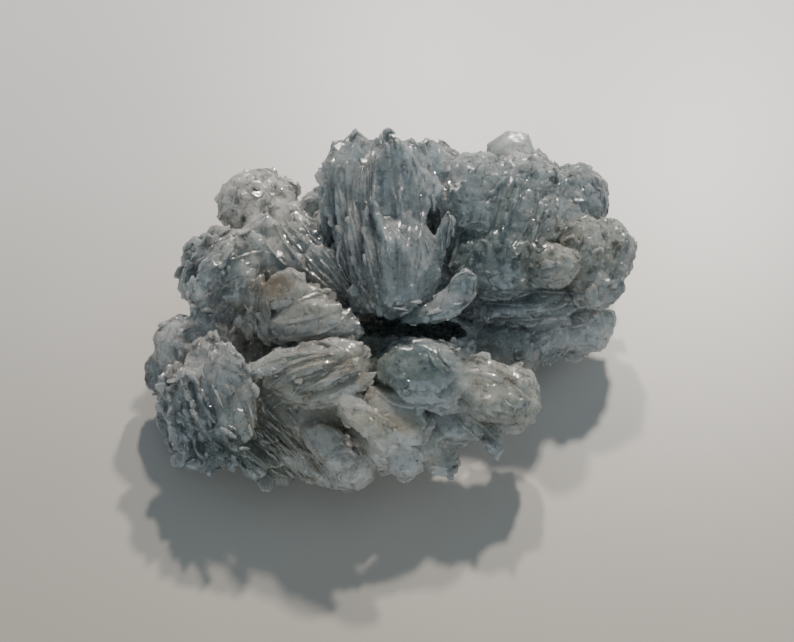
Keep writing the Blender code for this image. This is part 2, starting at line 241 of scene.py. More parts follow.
class Wiring:
    """A node tree with short calls to add nodes, set their values and join them."""

    def __init__(self, tree: bpy.types.NodeTree) -> None:
        """Keeps the tree that is wired."""
        self.tree = tree

    def add(self, kind: str, values: dict | None = None, **settings: str) -> bpy.types.Node:
        """Adds a node.

        Args:
            kind: The node's type name.
            values: Values or sockets for its inputs, by name or number.
            **settings: Properties of the node.

        Returns:
            The node.
        """
        node = self.tree.nodes.new(kind)
        for key, value in settings.items():
            setattr(node, key, value)
        for key, value in (values or {}).items():
            self.feed(node.inputs[key], value)
        return node

    def feed(self, socket: Socket, value: Value) -> None:
        """Joins a socket to an input, or sets the input's value.

        Args:
            socket: The input.
            value: A socket to join, or a plain value.
        """
        if isinstance(value, bpy.types.NodeSocket):
            self.tree.links.new(value, socket)
        else:
            socket.default_value = value

    def maths(self, operation: str, first: Value, second: Value = 0.0, third: Value = 0.0) -> Socket:
        """Adds a Math node and returns its result."""
        values = {0: first, 1: second, 2: third}
        return self.add("ShaderNodeMath", values, operation=operation).outputs[0]

    def vector(
        self, operation: str, first: Value, second: Value | None = None, scale: Value | None = None
    ) -> Socket:
        """Adds a Vector Math node.

        Args:
            operation: What it does.
            first: Its first vector.
            second: Its second vector, where it has one.
            scale: Its scale, where it has one.

        Returns:
            The output that its operation fills.
        """
        values = {0: first}
        if second is not None:
            values[1] = second
        if scale is not None:
            values["Scale"] = scale
        node = self.add("ShaderNodeVectorMath", values, operation=operation)
        single = operation in ("DOT_PRODUCT", "LENGTH", "DISTANCE")
        return node.outputs["Value" if single else "Vector"]

    def blend(self, share: Value, first: Value, second: Value) -> Socket:
        """Adds a colour mix and returns its result."""
        values = {0: share, 6: first, 7: second}
        return self.add("ShaderNodeMix", values, data_type="RGBA").outputs[2]

    def ramp(
        self, share: Value, low: Value, high: Value, start: float = 0.0, end: float = 1.0
    ) -> Socket:
        """Adds a smooth Map Range and returns its result."""
        values = {0: share, 1: low, 2: high, 3: start, 4: end}
        return self.add("ShaderNodeMapRange", values, interpolation_type="SMOOTHSTEP").outputs[0]

    def noise(self, place: Value, scale: Value, detail: float = 3.0) -> bpy.types.Node:
        """Adds a noise pattern and returns its node."""
        values = {"Vector": place, "Scale": scale, "Detail": detail}
        return self.add("ShaderNodeTexNoise", values)

    def cells(self, place: Value, scale: Value, feature: str = "F1") -> bpy.types.Node:
        """Adds a pattern of cells and returns its node."""
        values = {"Vector": place, "Scale": scale}
        return self.add("ShaderNodeTexVoronoi", values, feature=feature)

    def facets(self, place: Socket, scale: Value) -> Socket:
        """Adds flat facets, one in each cell and each tilted its own way.

        Args:
            place: The place on the surface.
            scale: How many cells there are in a metre.

        Returns:
            The facets' height above the surface.
        """
        cells = self.cells(place, scale)
        tilt = self.vector("SUBTRACT", cells.outputs["Color"], (0.5, 0.5, 0.5))
        offset = self.vector("SUBTRACT", place, cells.outputs["Position"])
        return self.vector("DOT_PRODUCT", tilt, offset)

    def carried(self, name: str, kind: str = "FLOAT") -> Socket:
        """Adds the reading of one of the surface's own attributes, in Geometry Nodes."""
        values = {"Name": name}
        return self.add("GeometryNodeInputNamedAttribute", values, data_type=kind).outputs[0]

    def painted(self, name: str) -> Socket:
        """Adds the reading of one of the piece's tints, in a material."""
        return self.add("ShaderNodeAttribute", attribute_name=name).outputs["Fac"]


class Growth:
    """A Geometry Nodes tree with named inputs, and the calls that run it on a mesh."""

    def __init__(self, name: str, sizes: dict[str, float]) -> None:
        """Makes the tree and its inputs.

        Args:
            name: The tree's name.
            sizes: The named inputs and their values.
        """
        self.tree = bpy.data.node_groups.new(name, "GeometryNodeTree")
        self.sizes = sizes
        face = self.tree.interface
        face.new_socket("Geometry", in_out="INPUT", socket_type="NodeSocketGeometry")
        for key, value in sizes.items():
            kind = "NodeSocketInt" if isinstance(value, int) else "NodeSocketFloat"
            face.new_socket(key, in_out="INPUT", socket_type=kind)
        face.new_socket("Geometry", in_out="OUTPUT", socket_type="NodeSocketGeometry")
        self.wiring = Wiring(self.tree)
        self.given = self.tree.nodes.new("NodeGroupInput").outputs
        self.result = self.tree.nodes.new("NodeGroupOutput").inputs[0]

    def grow(self, shape: bpy.types.Object) -> None:
        """Puts the tree on an object as a modifier, its inputs set by identifier.

        Args:
            shape: The object.
        """
        modifier = shape.modifiers.new(self.tree.name, "NODES")
        modifier.node_group = self.tree
        for item in self.tree.interface.items_tree:
            if item.in_out == "INPUT" and item.name in self.sizes:
                modifier[item.identifier] = self.sizes[item.name]


def evaluated_mesh(shape: bpy.types.Object) -> bpy.types.Mesh:
    """Makes a plain mesh of an object with its modifiers applied.

    Args:
        shape: The object.

    Returns:
        The new mesh.
    """
    bpy.context.view_layer.update()
    graph = bpy.context.evaluated_depsgraph_get()
    return bpy.data.meshes.new_from_object(shape.evaluated_get(graph), depsgraph=graph)


def bake(shape: bpy.types.Object) -> None:
    """Applies an object's modifiers to its mesh and removes them.

    Args:
        shape: The object.
    """
    mesh = evaluated_mesh(shape)
    shape.modifiers.clear()
    shape.data = mesh


def new_object(name: str, mesh: bpy.types.Mesh) -> bpy.types.Object:
    """Links a new object to the scene.

    Args:
        name: Its name.
        mesh: Its mesh.

    Returns:
        The object.
    """
    shape = bpy.data.objects.new(name, mesh)
    bpy.context.scene.collection.objects.link(shape)
    return shape


def corners_of(mesh: bpy.types.Mesh) -> np.ndarray:
    """Reads where a mesh's vertices are.

    Args:
        mesh: The mesh.

    Returns:
        The vertices, one a row.
    """
    points = np.empty(len(mesh.vertices) * 3, np.float32)
    mesh.vertices.foreach_get("co", points)
    return points.reshape(-1, 3).astype(np.float64)


def plain_mesh(
    name: str, grown: bmesh.types.BMesh, finish: bpy.types.Material | None = None
) -> bpy.types.Mesh:
    """Turns a grown shape into a plain mesh.

    Args:
        name: The mesh's name.
        grown: The shape, which is freed.
        finish: The mesh's material, if it has one yet.

    Returns:
        The mesh.
    """
    mesh = bpy.data.meshes.new(name)
    grown.to_mesh(mesh)
    grown.free()
    if finish is not None:
        mesh.materials.append(finish)
    return mesh


def surface_of(body: bpy.types.Object) -> BVHTree:
    """Makes the tree that the photograph's rays are cast on.

    Args:
        body: The object that the rays meet.

    Returns:
        The tree of its faces.
    """
    corners = [vert.co for vert in body.data.vertices]
    return BVHTree.FromPolygons(corners, [face.vertices for face in body.data.polygons])


class Paint:
    """A new material with its wiring, its shader's inputs and its Object coordinates."""

    def __init__(self, name: str) -> None:
        """Makes the material.

        Args:
            name: The material's name.
        """
        self.material = bpy.data.materials.new(name)
        self.material.use_nodes = True
        self.wires = Wiring(self.material.node_tree)
        self.inputs = self.material.node_tree.nodes["Principled BSDF"].inputs
        self.place = self.wires.add("ShaderNodeTexCoord").outputs["Object"]

    def wear(self, values: dict[str, Value]) -> bpy.types.Material:
        """Fills the shader's inputs.

        Args:
            values: A plain value or a socket for each input, by name.

        Returns:
            The material.
        """
        for key, value in values.items():
            self.wires.feed(self.inputs[key], value)
        return self.material


@dataclass(frozen=True)
class StoneFinish:
    """The frosted, half clear celestite, with tints read from the piece's attributes, painted shade and
    painted light among them.
    """

    name: str
    pale: Colour = (0.51, 0.55, 0.55, 1.0)
    blue: Colour = (0.372, 0.414, 0.424, 1.0)
    # Also what the pale tint mixes in, which is partly the crystals' own whiter colour and partly painted
    # light.
    milk: Colour = (0.93, 0.915, 0.87, 1.0)
    warm: Colour = (0.71, 0.66, 0.54, 1.0)
    stain: Colour = (0.27, 0.225, 0.165, 1.0)
    olive: Colour = (0.45, 0.405, 0.27, 1.0)
    # Painted shade: the dark teal mixed in where clefts, hollows and grooves lie in shade.
    painted_shade: Colour = (0.125, 0.188, 0.182, 1.0)
    roughness: tuple[float, float] = (0.12, 0.30)
    clearness: float = 0.44
    milkiness: float = 0.85
    glow_depth: float = 0.008
    glow_radius: tuple[float, float, float] = (0.88, 1.0, 1.06)
    grain: float = 0.9 * MM
    relief: float = 0.14
    sheen_scale: float = 700.0
    cloud_scale: float = 90.0
    cloud_edges: tuple[float, float] = (0.36, 0.64)
    milk_scale: float = 420.0
    milk_edges: tuple[float, float] = (0.52, 0.8)
    most_milk: float = 0.45
    tint_edges: tuple[float, float] = (0.3, 0.6)
    tint_shares: tuple[float, float] = (0.6, 1.1)

    def make(self) -> bpy.types.Material:
        """Builds the material.

        Returns:
            The material.
        """
        paint = Paint(self.name)
        wires, place = paint.wires, paint.place
        cloud = wires.noise(place, self.sheen_scale, 2.0).outputs[0]
        return paint.wear(
            {
                "Base Color": self._colour(wires, place),
                "Roughness": wires.ramp(cloud, *NOISE_SPAN, *self.roughness),
                "IOR": CELESTITE_IOR,
                "Transmission Weight": self.clearness,
                "Subsurface Weight": self.milkiness,
                "Subsurface Radius": self.glow_radius,
                "Subsurface Scale": self.glow_depth,
                "Normal": self._grain(wires, place),
            }
        )

    def _colour(self, wires: Wiring, place: Socket) -> Socket:
        """Mixes blue and pale clouds with every tint that the piece carries.

        Args:
            wires: The material's wiring.
            place: The Object coordinates.

        Returns:
            The stone's colour.
        """
        cloud = wires.noise(place, self.cloud_scale, 4.0).outputs[0]
        fine = wires.noise(place, self.milk_scale, 3.0).outputs[0]
        milkiness = wires.ramp(fine, *self.milk_edges, 0.0, self.most_milk)
        colour = wires.blend(wires.ramp(cloud, *self.cloud_edges), self.blue, self.pale)
        colour = wires.blend(milkiness, colour, self.milk)
        patchy = wires.ramp(fine, *self.tint_edges, *self.tint_shares)
        for tint, target in (
            (Tint.WARM, self.warm),
            # Partly the crystals' own whiter colour, partly painted light where light shines through thin
            # plates.
            (Tint.PALE_AND_PAINTED_LIGHT, self.milk),
            (Tint.OLIVE, self.olive),
            (Tint.STAIN, self.stain),
            # Painted shade, darkest in the cleft, hollows and grooves.
            (Tint.PAINTED_SHADE, self.painted_shade),
        ):
            uneven = wires.maths("MULTIPLY", wires.painted(tint.value), patchy)
            colour = wires.blend(wires.maths("MINIMUM", uneven, 1.0), colour, target)
        return colour

    def _grain(self, wires: Wiring, place: Socket) -> Socket:
        """Tilts the smallest facets.

        Args:
            wires: The material's wiring.
            place: The Object coordinates.

        Returns:
            The normal.
        """
        height = wires.facets(place, 1.0 / self.grain)
        values = {"Height": height, "Strength": self.relief, "Distance": 1.0}
        return wires.add("ShaderNodeBump", values).outputs[0]


# Where each tint lies on the stone.
ZONES = {
    Tint.WARM: (
        Zone(290, 305, 75, 42, 0.6), Zone(330, 390, 75, 50, 0.8), Zone(345, 455, 100, 45, 1.0),
        Zone(500, 395, 48, 42, 0.7), Zone(575, 255, 52, 40, 0.65), Zone(255, 215, 52, 50, 0.35),
        Zone(575, 335, 45, 30, 0.25),
    ),
    Tint.STAIN: (
        Zone(275, 286, 20, 15, 0.95), Zone(262, 300, 8, 26, 0.5), Zone(360, 370, 16, 20, 0.45),
        Zone(552, 262, 12, 18, 0.25), Zone(290, 340, 50, 7, 0.4), Zone(372, 300, 7, 22, 0.35),
        Zone(345, 285, 6, 30, 0.3), Zone(432, 235, 6, 22, 0.3), Zone(395, 425, 25, 8, 0.35),
    ),
    Tint.OLIVE: (
        Zone(270, 440, 30, 34, 0.5), Zone(300, 472, 26, 22, 0.35), Zone(375, 422, 45, 12, 0.4),
        Zone(240, 405, 24, 18, 0.35), Zone(350, 358, 50, 10, 0.3),
    ),
    # Partly the crystals' own whiter colour, partly painted light where light shines through thin plates.
    Tint.PALE_AND_PAINTED_LIGHT: (
        Zone(402, 460, 20, 22, 1.0), Zone(335, 460, 56, 34, 0.62), Zone(514, 142, 18, 18, 0.7),
        Zone(590, 332, 30, 28, 0.5), Zone(252, 200, 46, 40, 0.68), Zone(436, 355, 13, 16, 0.5),
        Zone(355, 405, 16, 18, 0.4), Zone(458, 288, 18, 18, 0.3), Zone(350, 470, 24, 18, 0.35),
        Zone(200, 350, 52, 30, 0.9), Zone(320, 350, 30, 9, 0.35),
    ),
    # Painted shade: dark teal, darkest in the cleft, hollows and grooves.
    Tint.PAINTED_SHADE: (
        Zone(402, 323, 52, 12, 0.5), Zone(498, 336, 44, 18, 0.15), Zone(414, 366, 44, 26, 0.78),
        Zone(495, 250, 58, 36, 0.62), Zone(305, 318, 45, 22, 0.12), Zone(510, 398, 42, 34, 0.14),
        Zone(592, 230, 40, 36, 0.22), Zone(530, 210, 60, 40, 0.4), Zone(395, 150, 50, 25, 0.12),
        Zone(395, 285, 26, 26, 0.3), Zone(435, 215, 7, 12, 0.2), Zone(240, 455, 38, 24, 0.5),
        Zone(490, 285, 60, 8, 0.5), Zone(350, 300, 10, 22, 0.4),
    ),
}


@dataclass(frozen=True)
class Colouring:
    """How the zones' tints fade over the stone: full at the middle, gone past the rim."""

    full: float = 1.6
    fade: float = 1.1

    def paint(self, shape: bpy.types.Object, photograph: Photograph) -> None:
        """Writes the tints on a piece's vertices.

        Args:
            shape: The piece.
            photograph: What turns a place into a pixel.
        """
        mesh = shape.data
        pixels = photograph.pixels(corners_of(mesh))
        for tint, zones in ZONES.items():
            share = np.zeros(len(pixels))
            for zone in zones:
                across = (pixels[:, 0] - zone.x) / zone.wide
                down = (pixels[:, 1] - zone.y) / zone.high
                near = np.clip(self.full - self.fade * np.hypot(across, down), 0.0, 1.0)
                share = np.maximum(share, near * zone.strength)
            layer = mesh.attributes.new(tint.value, "FLOAT", "POINT")
            layer.data.foreach_set("value", share.astype(np.float32))


class Fan(NamedTuple):
    """One group of crystals: where it is, how its blades stand, and what grows on it.

    The places and directions are in the layout frame: across, up the picture, and height or toward
    the viewer, in millimetres.  A group whose blades all lie one way has a face, and the others turn
    round their spine.
    """

    name: str
    middle: tuple[float, float, float]
    spine: tuple[float, float, float]
    reach: float
    spacing: float
    length: float
    ridge: float
    standing: float
    scales: float
    sugar: float
    face: tuple[float, float, float] | None = None


@dataclass(frozen=True)
class Fabric:
    """How the crystals run over the stone: which group a place is in, and which way its blades face."""

    fans: tuple[Fan, ...] = (
        Fan("crown", (-4, 20, 38), (0.1, -1, 0), 21, 2.0, 9.0, 0.5, 0.38, 0.4, 0.3),
        Fan("crown_right", (8, 22, 36.5), (0.1, -1, 0), 17, 3.0, 5.0, 0.4, 0.2, 0.5, 0.6),
        Fan("upper_right", (26, 22, 26), (-0.3, -0.95, 0), 20, 3.2, 6.0, 0.45, 0.22, 0.6, 0.6),
        Fan("spur", (30, 39, 22), (0, 1, 0), 8, 3.0, 8.0, 0.2, 0.0, 0.0, 0.15),
        Fan("upper_end", (45, 26, 25), (0.2, -1, 0), 13, 2.6, 3.0, 0.6, 0.2, 0.8, 1.0),
        Fan("nodules", (50, 13, 25.5), (0, -1, 0), 14, 2.2, 2.4, 0.6, 0.1, 0.6, 1.0),
        Fan("shelf", (34, 0, 18.5), (1, 0.05, 0), 15, 1.8, 8.0, 0.5, 0.3, 0.7, 0.4, (0, 0.6, 0.8)),
        Fan("low_right", (44, -5, 11), (0.7, -0.7, 0), 14, 2.8, 3.4, 0.6, 0.2, 0.8, 0.7),
        Fan("tablets", (14, 8, 36), (0.4, 0.9, 0), 9, 2.4, 8.0, 0.15, 0.3, 0.1, 0.3),
        Fan("fan_left", (-19, 13, 31), (0.4, -0.9, 0), 14, 1.6, 9.0, 0.6, 0.6, 0.4, 0.3),
        Fan("shoulder", (-38, 8, 23.5), (-0.5, -0.85, 0), 17, 2.2, 4.0, 0.6, 0.4, 0.8, 0.6),
        Fan("back_left", (-36, 28, 12.5), (0, -1, 0), 13, 2.2, 2.6, 0.6, 0.1, 0.8, 1.0),
        Fan("saddle", (-22, -1, 32.5), (1, 0.2, 0), 12, 1.5, 9.0, 0.35, 0.4, 0.15, 0.2, (-0.1, 0.5, 0.85)),
        Fan("left_foot", (-43, -22, 12.5), (0.4, -1, 0), 20, 1.9, 7.0, 0.45, 0.22, 0.9, 0.7),
        Fan("olive", (-27, -31, 10), (0.72, -0.69, 0), 14, 1.4, 12.0, 0.7, 0.7, 0.1, 0.1),
        Fan("front", (-8, -27, 15.5), (0.7, -0.6, 0), 18, 2.6, 9.0, 0.3, 0.3, 0.2, 0.3, (-0.2, 0.4, 0.85)),
        Fan("ribs", (-17, -14, 32.5), (0.9, 0.4, 0), 13, 1.7, 9.0, 0.5, 0.5, 0.2, 0.3, (-0.3, 0.55, 0.8)),
        Fan("plate", (8, -14, 29), (1, -0.2, 0), 13, 2.4, 10.0, 0.2, 0.2, 0.15, 0.3, (0, 0.45, 0.9)),
        Fan("front_right", (26, -20, 19), (0.8, -0.5, 0), 12, 2.6, 4.0, 0.45, 0.2, 0.5, 0.8),
        Fan("under", (0, -6, 4), (1, 0, 0), 34, 2.6, 5.0, 0.8, 0.5, 0.7, 0.4),
        Fan("back", (4, 38, 12), (1, 0, 0), 26, 2.2, 6.0, 0.8, 0.6, 0.8, 0.5),
    )
    round_share: float = 0.8
    apart: float = 37.0

    def lay(self, shape: bpy.types.Object, photograph: Photograph) -> None:
        """Writes the field on a mesh's vertices.

        Args:
            shape: The object whose mesh gets the attributes.
            photograph: What turns layout places into world places.
        """
        mesh = shape.data
        points = corners_of(mesh)
        groups = self._groups(points, photograph)
        cells = np.zeros_like(points)
        faces = np.zeros_like(points)
        for number, fan in enumerate(self.fans):
            inside = groups == number
            cells[inside], faces[inside] = self._cells(fan, points[inside], photograph)
            cells[inside] += self.apart * number
            LOG.info("%s: %d corners of the body", fan.name, np.count_nonzero(inside))
        self._write(mesh, "fan_place", "FLOAT_VECTOR", cells)
        self._write(mesh, "blade_face", "FLOAT_VECTOR", faces)
        for name in ("ridge", "standing", "scales", "sugar"):
            values = np.array([getattr(fan, name) for fan in self.fans])[groups]
            self._write(mesh, name, "FLOAT", values)

    def _groups(self, points: np.ndarray, photograph: Photograph) -> np.ndarray:
        """Finds the group that each point belongs to.

        Args:
            points: Points in world space, one a row.
            photograph: What turns layout places into world places.

        Returns:
            Each point's group, by its number in the list.
        """
        nearness = []
        for fan in self.fans:
            middle = np.array(photograph.layout_point(fan.middle))
            nearness.append(np.linalg.norm(points - middle, axis=1) / (fan.reach * MM))
        return np.argmin(np.array(nearness), axis=0)

    def _cells(
        self, fan: Fan, points: np.ndarray, photograph: Photograph
    ) -> tuple[np.ndarray, np.ndarray]:
        """Finds where points are in their group's own pattern.

        Args:
            fan: The group.
            points: Points in world space, one a row.
            photograph: What turns layout places into world places.

        Returns:
            The places in the pattern, and which way the blades face there.
        """
        away = (points - np.array(photograph.layout_point(fan.middle))) / MM
        spine = np.array(photograph.layout_direction(fan.spine))
        if fan.face is not None:
            face = np.array(photograph.layout_direction(fan.face))
            face -= spine * (face @ spine)
            face /= np.linalg.norm(face)
            side = np.cross(spine, face)
            rows = (away @ face / fan.spacing, away @ side / fan.length, away @ spine / fan.length)
            return np.stack(rows, axis=1), np.broadcast_to(face, points.shape)
        outward = np.array(photograph.back)
        outward -= spine * (outward @ spine)
        outward /= np.linalg.norm(outward)
        side = np.cross(spine, outward)
        x, y = away @ outward, away @ side
        turn = np.arctan2(y, x) * fan.reach * self.round_share / fan.spacing
        rows = (turn, np.hypot(x, y) / fan.length, away @ spine / fan.length)
        radius = np.maximum(np.hypot(x, y), 0.001)[:, None]
        faces = (side * x[:, None] - outward * y[:, None]) / radius
        return np.stack(rows, axis=1), faces

    @staticmethod
    def _write(mesh: bpy.types.Mesh, name: str, kind: str, values: np.ndarray) -> None:
        """Adds one attribute to a mesh's vertices.

        Args:
            mesh: The mesh.
            name: The attribute's name.
            kind: Its data type.
            values: Its values, one a row.
        """
        layer = mesh.attributes.new(name, kind, "POINT")
        key = "vector" if kind == "FLOAT_VECTOR" else "value"
        layer.data.foreach_set(key, values.astype(np.float32).ravel())


@dataclass
class StoneBody:
    """The whole body of the stone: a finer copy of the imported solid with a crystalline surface."""

    voxel: float = 0.36 * MM
    most_triangles: int = 195_000
    warp_size: float = 4.0 * MM
    warp_depth: float = 0.16 * MM
    ridge_depth: float = 0.27 * MM
    groove: float = 0.18
    grain_size: float = 1.6 * MM
    grain_tilt: float = 0.11
    knob_size: float = 3.4 * MM
    knob_depth: float = 0.75 * MM
    warp_gain: float = 3.0
    ridge_sway: float = 1.2
    ridge_middle: float = 0.45
    groove_drop: float = 0.55
    knob_edges: tuple[float, float] = (0.05, 0.65)
    sharp_angle: float = math.radians(27)

    def relief(self) -> Growth:
        """Builds the tree that turns smooth faces into wavy rims, ridges and small tilted facets.

        Returns:
            The tree.
        """
        fields = (
            "warp_size", "warp_depth", "ridge_depth", "groove",
            "grain_size", "grain_tilt", "knob_size", "knob_depth",
        )
        sizes = {name.replace("_", " ").title(): getattr(self, name) for name in fields}
        growth = Growth("stone_relief", sizes)
        wires, given = growth.wiring, growth.given
        place = wires.add("GeometryNodeInputPosition").outputs[0]
        normal = wires.add("GeometryNodeInputNormal").outputs[0]
        scale = wires.maths("DIVIDE", 1.0, given["Warp Size"])
        sway = wires.vector("SUBTRACT", wires.noise(place, scale).outputs["Color"], (0.5, 0.5, 0.5))
        depth = wires.maths("MULTIPLY", given["Warp Depth"], self.warp_gain)
        warp = wires.vector("SCALE", sway, scale=depth)
        rise = wires.maths("ADD", self._ridges(wires, given, sway), self._grains(wires, given, place))
        rise = wires.maths("ADD", rise, self._knobs(wires, given, place))
        step = wires.vector("ADD", warp, wires.vector("SCALE", normal, scale=rise))
        moved = wires.add("GeometryNodeSetPosition", {"Geometry": given["Geometry"], "Offset": step})
        wires.feed(growth.result, moved.outputs[0])
        return growth

    def _ridges(self, wires: Wiring, given: Inputs, sway: Socket) -> Socket:
        """Raises long blade rims, one in each cell of the group's own pattern.

        Args:
            wires: The tree's wiring.
            given: The tree's inputs.
            sway: What bends the pattern.

        Returns:
            The rims' height.
        """
        pattern = wires.carried("fan_place", "FLOAT_VECTOR")
        pattern = wires.vector("ADD", pattern, wires.vector("SCALE", sway, scale=self.ridge_sway))
        cells = wires.cells(pattern, 1.0).outputs["Color"]
        edge = wires.cells(pattern, 1.0, "DISTANCE_TO_EDGE").outputs[0]
        level = wires.add("ShaderNodeSeparateXYZ", {0: cells}).outputs[0]
        level = wires.maths("SUBTRACT", level, self.ridge_middle)
        groove = wires.maths("SUBTRACT", 1.0, wires.ramp(edge, 0.0, given["Groove"]))
        level = wires.maths("MULTIPLY_ADD", groove, -self.groove_drop, level)
        depth = wires.maths("MULTIPLY", wires.carried("ridge"), given["Ridge Depth"])
        return wires.maths("MULTIPLY", level, depth)

    @staticmethod
    def _grains(wires: Wiring, given: Inputs, place: Socket) -> Socket:
        """Raises small tilted facets.

        Args:
            wires: The tree's wiring.
            given: The tree's inputs.
            place: Where the surface is.

        Returns:
            The facets' height.
        """
        slope = wires.facets(place, wires.maths("DIVIDE", 1.0, given["Grain Size"]))
        return wires.maths("MULTIPLY", slope, wires.maths("MULTIPLY", given["Grain Tilt"], 2.0))

    def _knobs(self, wires: Wiring, given: Inputs, place: Socket) -> Socket:
        """Raises rounded crystal heads, the highest on the sparkling nodules.

        Args:
            wires: The tree's wiring.
            given: The tree's inputs.
            place: Where the surface is.

        Returns:
            The heads' height.
        """
        heads = wires.cells(place, wires.maths("DIVIDE", 1.0, given["Knob Size"]))
        hollow = wires.ramp(heads.outputs["Distance"], *self.knob_edges)
        depth = wires.maths("MULTIPLY", wires.carried("sugar"), given["Knob Depth"])
        return wires.maths("MULTIPLY", wires.maths("SUBTRACT", 0.5, hollow), depth)

    def build(
        self, solid: bpy.types.Object, fabric: Fabric, photograph: Photograph, finish: bpy.types.Material
    ) -> bpy.types.Object:
        """Makes the body.

        Args:
            solid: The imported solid, which stays as it is.
            fabric: How the crystals run over the stone.
            photograph: What turns layout places into world places.
            finish: The body's material.

        Returns:
            The body.
        """
        body = new_object("stone_body", solid.data.copy())
        voxels = body.modifiers.new("voxels", "REMESH")
        voxels.mode = "VOXEL"
        voxels.voxel_size = self.voxel
        bake(body)
        fabric.lay(body, photograph)
        self.relief().grow(body)
        bake(body)
        thin = body.modifiers.new("thin", "DECIMATE")
        thin.ratio = min(1.0, self.most_triangles / (2 * len(body.data.polygons)))
        bake(body)
        body.data.materials.clear()
        body.data.materials.append(finish)
        body.data.shade_smooth()
        body.data.set_sharp_from_angle(angle=self.sharp_angle)
        LOG.info("stone_body: %d faces", len(body.data.polygons))
        return body


@dataclass(frozen=True)
class CrystalShape:
    """One small tabular crystal, a unit long along X, wide along Y and thick along Z."""

    sides: int
    bevel: float
    uneven: float
    seed: int
    twist: float = 0.25

    def make(self, name: str) -> bpy.types.Object:
        """Builds the crystal.

        Args:
            name: The object's name.

        Returns:
            The crystal, to be scattered and then removed.
        """
        rng = np.random.default_rng(self.seed)
        grown = bmesh.new()
        rings = []
        radii = 0.5 * (1 + rng.uniform(-self.uneven, self.uneven, self.sides))
        turns = np.arange(self.sides) + rng.uniform(-self.twist, self.twist, self.sides)
        turns = turns * 2 * math.pi / self.sides
        for share, level in ((1 - self.bevel, 0.5), (1.0, 0.0), (1 - self.bevel, -0.5)):
            ring = [
                grown.verts.new((radius * share * math.cos(turn), radius * share * math.sin(turn), level))
                for radius, turn in zip(radii, turns)
            ]
            rings.append(ring)
        grown.faces.new(rings[0])
        grown.faces.new(rings[2][::-1])
        for upper, lower in zip(rings, rings[1:]):
            for one in range(self.sides):
                two = (one + 1) % self.sides
                grown.faces.new((upper[one], lower[one], lower[two], upper[two]))
        bmesh.ops.recalc_face_normals(grown, faces=grown.faces)
        bmesh.ops.triangulate(grown, faces=grown.faces)
        return bpy.data.objects.new(name, plain_mesh(name, grown))


class Stance(Enum):
    """How a small crystal stands on the body."""

    FLAT = "flat"
    UPRIGHT = "upright"


SPANS = (("Shortest", "Longest"), ("Narrowest", "Widest"), ("Thinnest", "Thickest"))


